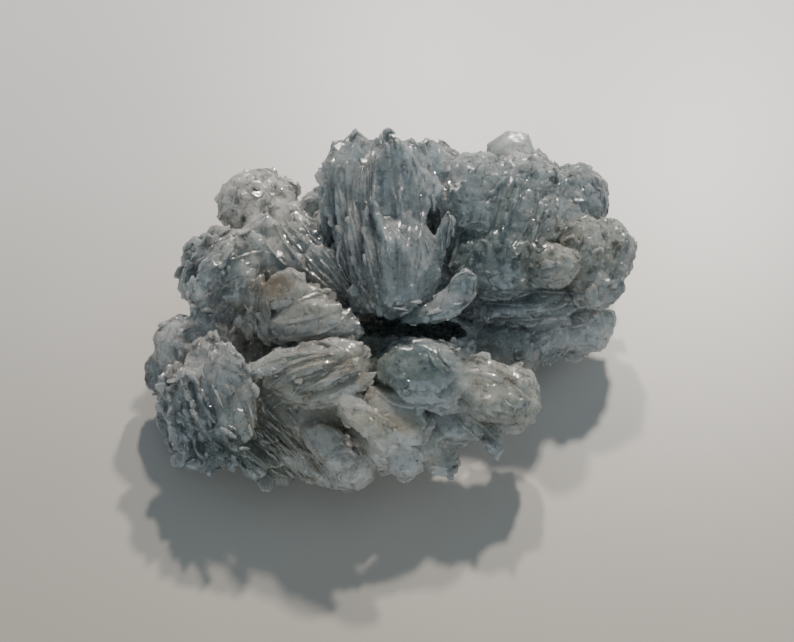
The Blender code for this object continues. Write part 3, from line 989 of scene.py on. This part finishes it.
@dataclass
class Scatter:
    """Small crystals of one kind, in millimetres, grown on the body where its attribute says."""

    name: str
    where: str
    per_square_mm: float
    length: tuple[float, float]
    width: tuple[float, float]
    thickness: tuple[float, float]
    sink: float
    lean: float
    stance: Stance
    shapes: tuple[CrystalShape, ...]
    seed: int
    roll: float = 0.3

    def tree(self, kit: bpy.types.Collection, finish: bpy.types.Material) -> Growth:
        """Builds the tree that scatters, turns, scales and realizes the crystals.

        Args:
            kit: The collection with the crystal's shapes.
            finish: The crystals' material.

        Returns:
            The tree.
        """
        sizes = {
            "Density": self.per_square_mm / MM**2,
            "Sink": self.sink,
            "Lean": self.lean,
            "Seed": self.seed,
        }
        for names, ends in zip(SPANS, (self.length, self.width, self.thickness)):
            sizes.update({name: end * MM for name, end in zip(names, ends)})
        growth = Growth(self.name, sizes)
        wires, given = growth.wiring, growth.given
        density = wires.maths("MULTIPLY", wires.carried(self.where), given["Density"])
        spread = wires.add(
            "GeometryNodeDistributePointsOnFaces",
            {"Mesh": given["Geometry"], "Density": density, "Seed": given["Seed"]},
        )
        normal = spread.outputs["Normal"]
        low = wires.vector("SCALE", normal, scale=wires.maths("MULTIPLY", given["Sink"], -MM))
        moved = wires.add("GeometryNodeSetPosition", {"Geometry": spread.outputs[0], "Offset": low})
        shapes = wires.add(
            "GeometryNodeCollectionInfo",
            {"Collection": kit, "Separate Children": True, "Reset Children": True},
        )
        grown = wires.add(
            "GeometryNodeInstanceOnPoints",
            {
                "Points": moved.outputs[0],
                "Instance": shapes.outputs[0],
                "Pick Instance": True,
                "Rotation": self._turn(wires, given, normal),
                "Scale": self._size(wires, given),
            },
        ).outputs[0]
        real = wires.add("GeometryNodeRealizeInstances", {0: grown}).outputs[0]
        dressed = wires.add("GeometryNodeSetMaterial", {"Geometry": real, "Material": finish})
        wires.feed(growth.result, dressed.outputs[0])
        return growth

    def _turn(self, wires: Wiring, given: Inputs, normal: Socket) -> Socket:
        """Turns each crystal, flat on the surface or upright along the blades.

        Args:
            wires: The tree's wiring.
            given: The tree's inputs.
            normal: The surface's normal.

        Returns:
            The rotation.
        """
        flat = self.stance is Stance.FLAT
        face = wires.carried("blade_face", "FLOAT_VECTOR")
        jitter = self._random(wires, given, (-1.0, -1.0, -1.0), (1.0, 1.0, 1.0), 1)
        lean = wires.vector("SCALE", jitter, scale=given["Lean"])
        first = wires.vector("ADD", normal if flat else face, lean)
        second = wires.vector("CROSS_PRODUCT", face, normal) if flat else normal
        second = wires.vector("ADD", second, wires.vector("SCALE", jitter, scale=self.roll))
        return wires.add(
            "FunctionNodeAxesToRotation",
            {0: first, 1: second},
            primary_axis="Z",
            secondary_axis="X",
        ).outputs[0]

    def _size(self, wires: Wiring, given: Inputs) -> Socket:
        """Draws each crystal's length, width and thickness.

        Args:
            wires: The tree's wiring.
            given: The tree's inputs.

        Returns:
            The scale.
        """
        parts = {
            axis: self._random(wires, given, given[low], given[high], axis + 2)
            for axis, (low, high) in enumerate(SPANS)
        }
        return wires.add("ShaderNodeCombineXYZ", parts).outputs[0]

    @staticmethod
    def _random(wires: Wiring, given: Inputs, low: Value, high: Value, step: int) -> Socket:
        """Draws a random number or vector for each crystal.

        Args:
            wires: The tree's wiring.
            given: The tree's inputs.
            low: The least value.
            high: The greatest value.
            step: What sets this draw's seed apart from the others.

        Returns:
            The value.
        """
        whole = isinstance(low, tuple)
        node = wires.add("FunctionNodeRandomValue", data_type="FLOAT_VECTOR" if whole else "FLOAT")
        wires.feed(node.inputs[0 if whole else 2], low)
        wires.feed(node.inputs[1 if whole else 3], high)
        wires.feed(node.inputs["Seed"], wires.maths("ADD", given["Seed"], float(step)))
        return node.outputs[0 if whole else 1]

    def build(self, body: bpy.types.Object, finish: bpy.types.Material) -> bpy.types.Object:
        """Makes the piece.

        Args:
            body: The body that carries the crystals.
            finish: The crystals' material.

        Returns:
            The piece.
        """
        kit = bpy.data.collections.new(self.name + "_kit")
        for number, shape in enumerate(self.shapes):
            kit.objects.link(shape.make(f"{self.name}_shape_{number}"))
        piece = new_object(self.name, body.data.copy())
        self.tree(kit, finish).grow(piece)
        bake(piece)
        for shape in list(kit.objects):
            bpy.data.objects.remove(shape, do_unlink=True)
        bpy.data.collections.remove(kit)
        piece.data.shade_flat()
        LOG.info("%s: %d faces", self.name, len(piece.data.polygons))
        return piece


class Rims(NamedTuple):
    """A row of thin crystal rims: its first and last run in the photograph's pixels, and its size.

    The rims between the first and the last are spread evenly, and each is as high as given, in
    millimetres, with a crest that leans to the side by a share of its height.
    """

    name: str
    count: int
    first: tuple[Pixel, ...]
    last: tuple[Pixel, ...]
    height: float
    lean: float = 0.0
    thick: float = 0.5


RIMS = (
    Rims("crown_left", 8, ((322, 172), (326, 215), (340, 258), (358, 302)),
         ((374, 150), (371, 195), (378, 245), (388, 298)), 0.8, -0.6, 0.8),
    Rims("crown_edge", 4, ((318, 205), (326, 240), (340, 270), (356, 300)),
         ((340, 230), (350, 258), (360, 280), (372, 306)), 0.9, -0.6, 0.7),
    Rims("crown_right", 3, ((394, 158), (397, 200), (399, 245), (397, 292)),
         ((428, 172), (426, 210), (422, 250), (413, 288)), 0.4, 0.6, 1.2),
    Rims("cleft_pair", 3, ((434, 196), (436, 225), (432, 262)),
         ((466, 206), (456, 240), (448, 280)), 1.2, 0.5, 0.9),
    Rims("fan_left", 6, ((299, 200), (318, 232), (338, 260), (356, 292)),
         ((262, 232), (286, 262), (316, 285), (348, 302)), 1.0, 0.5, 0.8),
    Rims("shoulder_rows", 3, ((196, 256), (222, 238), (258, 226), (290, 222)),
         ((186, 312), (206, 296), (232, 284), (256, 276)), 0.6, 0.4, 0.9),
    Rims("saddle_leaf", 3, ((272, 318), (300, 303), (330, 296), (352, 300)),
         ((274, 337), (306, 334), (338, 325), (357, 309)), 0.55, 0.4, 1.3),
    Rims("saddle_crest", 3, ((245, 300), (252, 318), (256, 338)),
         ((266, 286), (264, 312), (268, 336)), 1.0, -0.4),
    Rims("rib_crest", 3, ((250, 352), (284, 344), (320, 340), (350, 350)),
         ((246, 372), (276, 358), (310, 350), (340, 356)), 0.7, 0.5, 0.9),
    Rims("rib_bars", 4, ((240, 396), (272, 374), (308, 356), (340, 356)),
         ((268, 408), (298, 392), (336, 376), (368, 366)), 0.9, 0.5, 1.0),
    Rims("left_foot_rim", 1, ((196, 368), (200, 398), (214, 425), (242, 442)),
         ((208, 366), (212, 394), (226, 418), (248, 432)), 1.3, -0.3, 1.6),
    Rims("left_foot_rows", 2, ((148, 378), (152, 408), (168, 440), (190, 468)),
         ((186, 368), (190, 402), (204, 432), (232, 456)), 0.6, -0.5, 0.9),
    Rims("left_foot_top", 2, ((166, 338), (196, 334), (228, 342), (254, 360)),
         ((196, 366), (214, 362), (232, 368), (248, 380)), 0.5, 0.4, 1.2),
    Rims("olive_blades", 8, ((226, 438), (244, 456), (262, 472), (280, 478)),
         ((268, 396), (294, 424), (316, 452), (332, 484)), 1.1, -0.5, 0.7),
    Rims("front_rims", 2, ((292, 432), (318, 424), (342, 436), (354, 458)),
         ((310, 468), (336, 448), (362, 456), (376, 474)), 0.6, 0.4, 1.6),
    Rims("petal_rims", 2, ((338, 414), (354, 404), (370, 412), (384, 428)),
         ((380, 460), (396, 446), (414, 448), (426, 466)), 0.6, 0.4, 1.5),
    Rims("plate_rims", 2, ((384, 352), (408, 340), (432, 340), (452, 352)),
         ((374, 388), (398, 402), (428, 406), (456, 398)), 0.5, 0.6, 1.5),
    Rims("plate_block", 2, ((428, 346), (432, 360), (440, 374)),
         ((440, 344), (446, 358), (450, 370)), 1.2, 0.0, 1.0),
    Rims("right_petals", 2, ((458, 372), (484, 376), (510, 388), (532, 402)),
         ((454, 396), (474, 404), (498, 414), (520, 420)), 0.5, 0.5, 1.6),
    Rims("low_spurs", 3, ((454, 414), (474, 430), (500, 452)),
         ((472, 408), (490, 424), (506, 446)), 1.1, 0.3, 0.9),
    Rims("shelf_rows", 3, ((476, 290), (512, 288), (548, 286), (584, 292)),
         ((478, 314), (516, 320), (556, 318), (600, 312)), 0.6, 0.5, 1.0),
    Rims("low_right_rows", 2, ((520, 340), (548, 330), (580, 326), (606, 326)),
         ((536, 364), (560, 350), (586, 346), (606, 346)), 0.4, 0.4, 1.3),
    Rims("upper_streaks", 4, ((506, 176), (500, 208), (488, 244)),
         ((566, 182), (552, 212), (528, 250)), 0.4, 0.6, 1.1),
    Rims("tablet_edges", 2, ((444, 296), (450, 280), (462, 272), (478, 276)),
         ((450, 306), (464, 304), (476, 298), (482, 288)), 0.9, 0.2, 0.6),
)


@dataclass
class RimGrowth:
    """How a rim is grown: points along it, teeth of its crest, and how it sits on the body."""

    step_mm: float = 0.45
    sink_mm: float = 1.1
    tooth_mm: float = 1.5
    jitter: float = 2.2
    longest_jump_mm: float = 1.6
    fewest_points: int = 8
    crest_width: float = 0.3
    toward_viewer: float = 0.55
    bend_points: int = 160
    end_play: tuple[float, float] = (-0.12, 0.25)
    tooth_play: tuple[float, float] = (0.5, 1.5)
    tooth_height: tuple[float, float] = (0.45, 1.0)
    waist: float = 0.85
    height_taper: float = 0.4
    width_taper: float = 0.5
    end_width: float = 0.4
    even_points: int = 2
    even_normals: int = 5
    sharp_angle: float = math.radians(30)
    seed: int = 61

    def build(
        self, body: bpy.types.Object, photograph: Photograph, finish: bpy.types.Material
    ) -> bpy.types.Object:
        """Grows every row of rims as one piece.

        Args:
            body: The body that carries the rims.
            photograph: What turns pixels into rays.
            finish: The rims' material.

        Returns:
            The piece.
        """
        rng = np.random.default_rng(self.seed)
        tree = surface_of(body)
        grown = bmesh.new()
        for rims in RIMS:
            LOG.info("%s: %d rims", rims.name, rims.count)
            for number in range(rims.count):
                share = number / max(1, rims.count - 1)
                run = self._run(rims, share, rng)
                for points, normals in self._landed(run, tree, photograph):
                    self._blade(grown, points, normals, rims, photograph, rng)
        bmesh.ops.recalc_face_normals(grown, faces=grown.faces)
        mesh = plain_mesh("crystal_rims", grown, finish)
        mesh.shade_smooth()
        mesh.set_sharp_from_angle(angle=self.sharp_angle)
        piece = new_object("crystal_rims", mesh)
        LOG.info("crystal_rims: %d faces", len(mesh.polygons))
        return piece

    def _run(self, rims: Rims, share: float, rng: np.random.Generator) -> np.ndarray:
        """Bends one rim of a row along a smooth curve through its points.

        Args:
            rims: The row.
            share: Where the rim is in the row, from 0 for the first to 1 for the last.
            rng: The source of its unevenness.

        Returns:
            Pixels along the rim, one a row.
        """
        bends = np.array(rims.first) * (1 - share) + np.array(rims.last) * share
        bends += rng.normal(0, self.jitter, bends.shape)
        knots = np.arange(len(bends))
        inward, outward = self.end_play
        start = rng.uniform(inward, outward)
        end = len(bends) - 1 + rng.uniform(-outward, -inward)
        along = np.linspace(max(0.0, start), min(len(bends) - 1.0, end), self.bend_points)
        curve = [np.polyval(np.polyfit(knots, bends[:, axis], 2), along) for axis in (0, 1)]
        return np.stack(curve, axis=1)

    def _landed(
        self, run: np.ndarray, tree: BVHTree, photograph: Photograph
    ) -> Iterable[tuple[np.ndarray, np.ndarray]]:
        """The stretches of a run that lie on the body without a jump in depth.

        Args:
            run: Pixels along the rim.
            tree: The body's surface.
            photograph: What turns pixels into rays.

        Yields:
            The places and the surface normals of one stretch.
        """
        points, normals = [], []
        for pixel in run:
            place, normal, _, _ = tree.ray_cast(photograph.eye, photograph.ray(pixel))
            step = (place - points[-1]).length if place is not None and points else 0.0
            if place is None or step > self.longest_jump_mm * MM:
                if len(points) >= self.fewest_points:
                    yield np.array(points), np.array(normals)
                points, normals = [], []
                continue
            if not points or step > self.step_mm * MM:
                points.append(place)
                normals.append(normal)
        if len(points) >= self.fewest_points:
            yield np.array(points), np.array(normals)

    def _blade(
        self,
        grown: bmesh.types.BMesh,
        points: np.ndarray,
        normals: np.ndarray,
        rims: Rims,
        photograph: Photograph,
        rng: np.random.Generator,
    ) -> None:
        """Adds one closed rim whose crest is notched like a row of crystal ends.

        Args:
            grown: The mesh that the rim is added to.
            points: Places along the rim's root.
            normals: The body's normals there.
            rims: The row's sizes.
            photograph: Where the viewer is.
            rng: The source of the notches.
        """
        count = len(points)
        points = smoothed(points, self.even_points)
        normals = smoothed(normals, self.even_normals)
        outward = normals + np.array(photograph.back) * self.toward_viewer
        outward /= np.linalg.norm(outward, axis=1, keepdims=True)
        along = np.gradient(points, axis=0)
        side = np.cross(along, outward)
        side /= np.maximum(np.linalg.norm(side, axis=1, keepdims=True), 1e-9)
        share = np.linspace(0.0, 1.0, count)
        teeth = np.cumsum(rng.uniform(*self.tooth_play, count) * self.step_mm / self.tooth_mm)
        tall = rng.uniform(*self.tooth_height, int(teeth[-1]) + 2)[teeth.astype(int)]
        height = rims.height * MM * np.sin(np.pi * share) ** self.height_taper
        height *= smoothed(tall[:, None], 1)[:, 0]
        swell = (1 - self.end_width) * np.sin(np.pi * share) ** self.width_taper
        width = rims.thick * MM * (self.end_width + swell) * 0.5
        rings = []
        for number in range(count):
            base = points[number] - outward[number] * self.sink_mm * MM
            crest = points[number] + outward[number] * height[number]
            crest += side[number] * rims.lean * height[number]
            middle = (points[number] + crest) / 2
            step = side[number] * width[number]
            corners = (
                base - step,
                middle - step * self.waist,
                crest - step * self.crest_width,
                crest + step * self.crest_width,
                middle + step * self.waist,
                base + step,
            )
            rings.append([grown.verts.new(corner) for corner in corners])
        for ring, following in zip(rings, rings[1:]):
            for one in range(len(ring)):
                two = (one + 1) % len(ring)
                grown.faces.new((ring[one], ring[two], following[two], following[one]))
        grown.faces.new(rings[0][::-1])
        grown.faces.new(rings[-1])


class Cluster(NamedTuple):
    """A patch of tiny facets or specks: its middle and half size in pixels, and how many."""

    x: float
    y: float
    reach: float
    count: int


@dataclass
class TinyFacets:
    """Tiny flat crystals laid on the viewer's side, such as facets that catch the light."""

    name: str
    clusters: tuple[Cluster, ...]
    size_mm: tuple[float, float]
    thick_mm: float
    seed: int
    lean: float = 0.05
    sides: int = 6
    lift: float = 0.1 * MM
    most_turn: float = 6.28
    narrowest: float = 0.5
    top: float = 0.42

    def build(
        self,
        body: bpy.types.Object,
        photograph: Photograph,
        finish: bpy.types.Material,
        facing: Vector | None = None,
    ) -> bpy.types.Object:
        """Lays the facets.

        Args:
            body: The body that carries them.
            photograph: What turns pixels into rays.
            finish: Their material.
            facing: Which way they face, or None where they lie on the surface.

        Returns:
            The piece.
        """
        rng = np.random.default_rng(self.seed)
        tree = surface_of(body)
        grown = bmesh.new()
        for cluster in self.clusters:
            for _ in range(cluster.count):
                away = rng.uniform(-1, 1, 2) * cluster.reach
                pixel = (cluster.x + away[0], cluster.y + away[1])
                place, normal, _, _ = tree.ray_cast(photograph.eye, photograph.ray(pixel))
                if place is None:
                    continue
                face = (facing if facing is not None else normal).copy()
                face = (face + Vector(rng.normal(0, self.lean, 3))).normalized()
                self._facet(grown, place + normal * self.lift, face, rng)
        bmesh.ops.recalc_face_normals(grown, faces=grown.faces)
        mesh = plain_mesh(self.name, grown, finish)
        LOG.info("%s: %d faces", self.name, len(mesh.polygons))
        return new_object(self.name, mesh)

    def _facet(
        self, grown: bmesh.types.BMesh, place: Vector, face: Vector, rng: np.random.Generator
    ) -> None:
        """Adds one tiny flat crystal.

        Args:
            grown: The mesh that it is added to.
            place: Where it lies.
            face: Which way it faces.
            rng: The source of its size and turn.
        """
        size = rng.uniform(*self.size_mm) * MM
        turn = face.to_track_quat("Z", "Y").to_matrix().to_4x4()
        stand = Matrix.Translation(place) @ turn @ Matrix.Rotation(rng.uniform(0, self.most_turn), 4, "Z")
        width = size * rng.uniform(self.narrowest, 1.0)
        scale = Matrix.Diagonal((size, width, self.thick_mm * MM, 1.0))
        bmesh.ops.create_cone(
            grown, cap_ends=True, segments=self.sides, radius1=0.5, radius2=self.top, depth=1.0,
            matrix=stand @ scale,
        )


def smoothed(values: np.ndarray, rounds: int) -> np.ndarray:
    """Rows of values evened out along their length.

    Args:
        values: The values, one row for each point.
        rounds: How many times each is averaged with its neighbours.

    Returns:
        The evened values.
    """
    for _ in range(rounds):
        padded = np.concatenate((values[:1], values, values[-1:]))
        values = (padded[:-2] + padded[1:-1] * 2 + padded[2:]) / 4
    return values


def keep_inside(shape: bpy.types.Object, box: Sequence[Sequence[float]]) -> None:
    """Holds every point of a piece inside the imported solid's own box.

    Args:
        shape: The piece.
        box: The box's low and high corners.
    """
    mesh = shape.data
    points = np.clip(corners_of(mesh), np.array(box[0]), np.array(box[1]))
    mesh.vertices.foreach_set("co", points.astype(np.float32).ravel())
    mesh.update()


class Lamp(NamedTuple):
    """A square light that faces the stone."""

    name: str
    where: tuple[float, float, float]
    size: float
    power: float
    colour: tuple[float, float, float]


LAMP_LIGHT = (1.0, 0.93, 0.85)
ROOM_LIGHT = (0.82, 0.93, 1.0)
# The first two are the small lamps behind the stone, and the others stand for the room.
LAMPS = (
    Lamp("right_lamp", (0.171, 0.448, 0.510), 0.035, 3.4, LAMP_LIGHT),
    Lamp("left_lamp", (0.009, 0.482, 0.507), 0.035, 2.55, LAMP_LIGHT),
    Lamp("fill", (0.05, -0.88, 0.34), 0.8, 3.4, ROOM_LIGHT),
    Lamp("right_fill", (0.9, 0.1, 0.45), 0.6, 1.5, ROOM_LIGHT),
    Lamp("left_fill", (-0.9, 0.15, 0.45), 0.6, 0.4, ROOM_LIGHT),
)


@dataclass(frozen=True)
class Studio:
    """The pale floor and the lights."""

    floor_size: float = 6.0
    floor_colour: Colour = (0.70, 0.68, 0.66, 1.0)
    # Painted shade: the floor's colour near the viewer, away from the lamps.
    painted_shade_floor_colour: Colour = (0.485, 0.435, 0.37, 1.0)
    painted_shade_depths: tuple[float, float] = (-0.12, 0.12)
    cloud_scale: float = 14.0
    cloud_shades: tuple[float, float] = (0.96, 1.0)
    floor_roughness: float = 0.35
    lit_point: tuple[float, float, float] = (0.0, 0.0, 0.03)
    sky_colour: Colour = (0.54, 0.71, 0.85, 1.0)
    sky_strength: float = 0.26

    def make_floor(self) -> bpy.types.Object:
        """Lays the plain floor, with painted shade that makes it a little darker and warmer near the
        viewer.

        Returns:
            The floor.
        """
        plane = bmesh.new()
        bmesh.ops.create_grid(plane, x_segments=1, y_segments=1, size=self.floor_size / 2)
        paint = Paint("floor")
        wires = paint.wires
        cloud = wires.noise(paint.place, self.cloud_scale, 4.0).outputs[0]
        depth = wires.add("ShaderNodeSeparateXYZ", {0: paint.place}).outputs[1]
        # Painted shade: the floor darkens toward the viewer, away from the lamps.
        share = wires.ramp(depth, *self.painted_shade_depths)
        plain = wires.blend(share, self.painted_shade_floor_colour, self.floor_colour)
        patchy = wires.ramp(cloud, *NOISE_SPAN, *self.cloud_shades)
        shade = wires.vector("SCALE", plain, scale=patchy)
        finish = paint.wear({"Base Color": shade, "Roughness": self.floor_roughness})
        floor = new_object("floor", plain_mesh("floor", plane, finish))
        floor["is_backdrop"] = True
        return floor

    def hang(self, lamp: Lamp) -> None:
        """Hangs a light that faces the stone.

        Args:
            lamp: The light.
        """
        data = bpy.data.lights.new(lamp.name, "AREA")
        data.size = lamp.size
        data.energy = lamp.power
        data.color = lamp.colour
        light = bpy.data.objects.new(lamp.name, data)
        light.location = lamp.where
        light.rotation_mode = "QUATERNION"
        toward = Vector(self.lit_point) - Vector(lamp.where)
        light.rotation_quaternion = toward.to_track_quat("-Z", "Y")
        bpy.context.scene.collection.objects.link(light)

    def mirror_way(self, photograph: Photograph) -> Vector:
        """The way that a facet faces when it mirrors the two lamps to the viewer."""
        lamps = (Vector(LAMPS[0].where).normalized() + Vector(LAMPS[1].where).normalized()) / 2
        return (lamps.normalized() + photograph.back).normalized()

    def build(self) -> None:
        """Makes the floor, the lights and the sky."""
        self.make_floor()
        for lamp in LAMPS:
            self.hang(lamp)
        world = bpy.data.worlds.new("sky")
        bpy.context.scene.world = world
        world.use_nodes = True
        sky = world.node_tree.nodes["Background"]
        sky.inputs["Color"].default_value = self.sky_colour
        sky.inputs["Strength"].default_value = self.sky_strength


@dataclass(frozen=True)
class GlintFinish:
    """The clean, clear facets that catch the lamps."""

    name: str = "clear_facet"
    colour: Colour = (0.88, 0.93, 0.95, 1.0)
    faint: Colour = (0.704, 0.744, 0.76, 1.0)
    cloud_scale: float = 900.0
    roughness: float = 0.09
    clearness: float = 0.6

    def make(self) -> bpy.types.Material:
        """Builds the material.

        Returns:
            The material.
        """
        paint = Paint(self.name)
        cloud = paint.wires.noise(paint.place, self.cloud_scale, 2.0).outputs[0]
        return paint.wear(
            {
                "Base Color": paint.wires.blend(cloud, self.faint, self.colour),
                "Roughness": self.roughness,
                "IOR": CELESTITE_IOR,
                "Transmission Weight": self.clearness,
            }
        )


@dataclass(frozen=True)
class SpeckFinish:
    """The dark dirt in pits and on rims."""

    name: str = "dark_speck"
    colour: Colour = (0.035, 0.03, 0.022, 1.0)
    brown: Colour = (0.11, 0.075, 0.04, 1.0)
    cloud_scale: float = 160.0
    cloud_edges: tuple[float, float] = (0.4, 0.6)
    roughness: float = 0.8

    def make(self) -> bpy.types.Material:
        """Builds the material.

        Returns:
            The material.
        """
        paint = Paint(self.name)
        cloud = paint.wires.noise(paint.place, self.cloud_scale, 2.0).outputs[0]
        share = paint.wires.ramp(cloud, *self.cloud_edges)
        shade = paint.wires.blend(share, self.colour, self.brown)
        return paint.wear({"Base Color": shade, "Roughness": self.roughness})


GLINTS = TinyFacets(
    "glint_facets",
    (
        Cluster(206, 435, 5, 7), Cluster(213, 448, 4, 4), Cluster(215, 464, 14, 26),
        Cluster(345, 342, 10, 8), Cluster(342, 388, 8, 7), Cluster(252, 344, 7, 6),
        Cluster(397, 164, 5, 3), Cluster(517, 163, 2, 3), Cluster(395, 304, 10, 4),
        Cluster(375, 200, 30, 12), Cluster(470, 225, 30, 9), Cluster(580, 240, 35, 14),
        Cluster(240, 265, 40, 14), Cluster(200, 350, 30, 12), Cluster(290, 420, 50, 12),
        Cluster(370, 450, 40, 12), Cluster(500, 390, 30, 10), Cluster(420, 350, 40, 10),
        Cluster(560, 180, 40, 8), Cluster(250, 190, 35, 5), Cluster(190, 400, 30, 8),
    ),
    size_mm=(0.18, 0.42),
    thick_mm=0.14,
    seed=71,
    lean=0.06,
)
SPECKS = TinyFacets(
    "dark_specks",
    (
        Cluster(271, 303, 3, 4), Cluster(287, 291, 8, 4), Cluster(398, 250, 3, 1),
        Cluster(393, 430, 6, 3), Cluster(415, 462, 3, 3), Cluster(425, 480, 3, 2),
        Cluster(346, 435, 2, 1), Cluster(345, 443, 2, 1), Cluster(595, 337, 2, 1),
        Cluster(178, 378, 3, 2), Cluster(397, 280, 3, 2), Cluster(276, 428, 4, 2),
        Cluster(575, 250, 18, 5), Cluster(490, 180, 20, 2), Cluster(388, 397, 20, 4),
        Cluster(300, 370, 40, 5), Cluster(250, 210, 30, 2), Cluster(320, 330, 40, 3),
    ),
    size_mm=(0.25, 0.6),
    thick_mm=0.2,
    seed=73,
    lean=0.1,
    sides=7,
)

SCATTERS = (
    Scatter(
        name="standing_blades",
        where="standing",
        per_square_mm=0.07,
        length=(3.0, 5.0),
        width=(3.0, 7.0),
        thickness=(0.35, 0.7),
        sink=1.1,
        lean=0.12,
        stance=Stance.UPRIGHT,
        shapes=(
            CrystalShape(8, 0.16, 0.12, 1),
            CrystalShape(7, 0.18, 0.16, 2),
            CrystalShape(9, 0.14, 0.10, 3),
        ),
        seed=11,
    ),
    Scatter(
        name="surface_scales",
        where="scales",
        per_square_mm=0.10,
        length=(2.0, 5.0),
        width=(1.8, 4.0),
        thickness=(0.6, 1.2),
        sink=0.42,
        lean=0.17,
        stance=Stance.FLAT,
        shapes=(
            CrystalShape(7, 0.22, 0.14, 4),
            CrystalShape(6, 0.24, 0.16, 5),
            CrystalShape(8, 0.20, 0.12, 6),
        ),
        seed=23,
    ),
    Scatter(
        name="druse_grains",
        where="sugar",
        per_square_mm=0.16,
        length=(0.6, 1.3),
        width=(0.5, 1.1),
        thickness=(0.4, 0.8),
        sink=0.1,
        lean=0.8,
        stance=Stance.FLAT,
        shapes=(
            CrystalShape(5, 0.35, 0.15, 7),
            CrystalShape(6, 0.30, 0.15, 8),
            CrystalShape(4, 0.30, 0.15, 9),
        ),
        seed=37,
    ),
)


def plain_box(corners: Iterable[Vector]) -> list[list[float]]:
    """A box's corners as plain lists of numbers."""
    return [[float(value) for value in corner] for corner in corners]


def main() -> None:
    """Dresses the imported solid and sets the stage."""
    logging.basicConfig(level=logging.INFO, format="%(message)s")
    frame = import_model()
    solid_box = plain_box(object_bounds())
    photograph = Photograph()
    photograph.make_camera()
    studio = Studio()
    studio.build()
    colouring = Colouring()
    finish = StoneFinish("celestite_frost").make()
    body = StoneBody().build(frame["nodes"][NODE], Fabric(), photograph, finish)
    grown = [scatter.build(body, finish) for scatter in SCATTERS]
    grown.append(RimGrowth().build(body, photograph, finish))
    grown.append(GLINTS.build(body, photograph, GlintFinish().make(), studio.mirror_way(photograph)))
    grown.append(SPECKS.build(body, photograph, SpeckFinish().make()))
    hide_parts(NODE)
    for piece in (body, *grown):
        keep_inside(piece, solid_box)
        colouring.paint(piece, photograph)
        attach(piece, "root")


if __name__ == "__main__":
    main()
